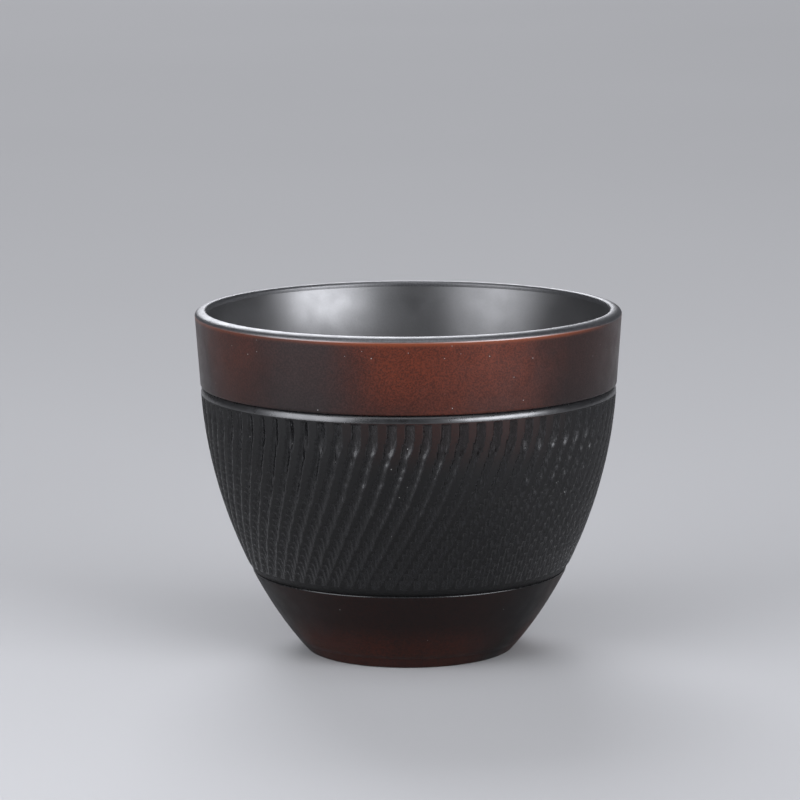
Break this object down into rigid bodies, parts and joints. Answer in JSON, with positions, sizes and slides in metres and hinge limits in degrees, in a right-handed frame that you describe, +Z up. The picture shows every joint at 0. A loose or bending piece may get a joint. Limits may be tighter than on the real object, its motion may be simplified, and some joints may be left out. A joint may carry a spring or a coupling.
{
  "type": "gongfu teacup",
  "caption": "Handleless dark stoneware tea cup with a plain rim band, a groove, a belt of leaning chatter-cut flutes, a smooth lower wall and a small turned foot.",
  "frame": {"origin": "centre of the foot on the plane that the cup stands on", "axes": "+Z up along the axis of the cup, -Y towards the viewer of the picture, +X to the viewer's right"},
  "size_m": [0.07, 0.07, 0.0567],
  "materials": {
    "satin_clay": "unglazed, polished to a satin sheen, black with red-brown kiln clouds",
    "cut_clay": "unglazed, knife-cut and nearly matt, black-grey",
    "foot_clay": "unglazed, bare matt clay"
  },
  "bodies": {
    "root": {"foot_ring": "foot_clay", "lower_wall": "satin_clay", "chattered_belt": "cut_clay", "rim_band": "satin_clay", "lip": "satin_clay"}
  },
  "joints": []
}
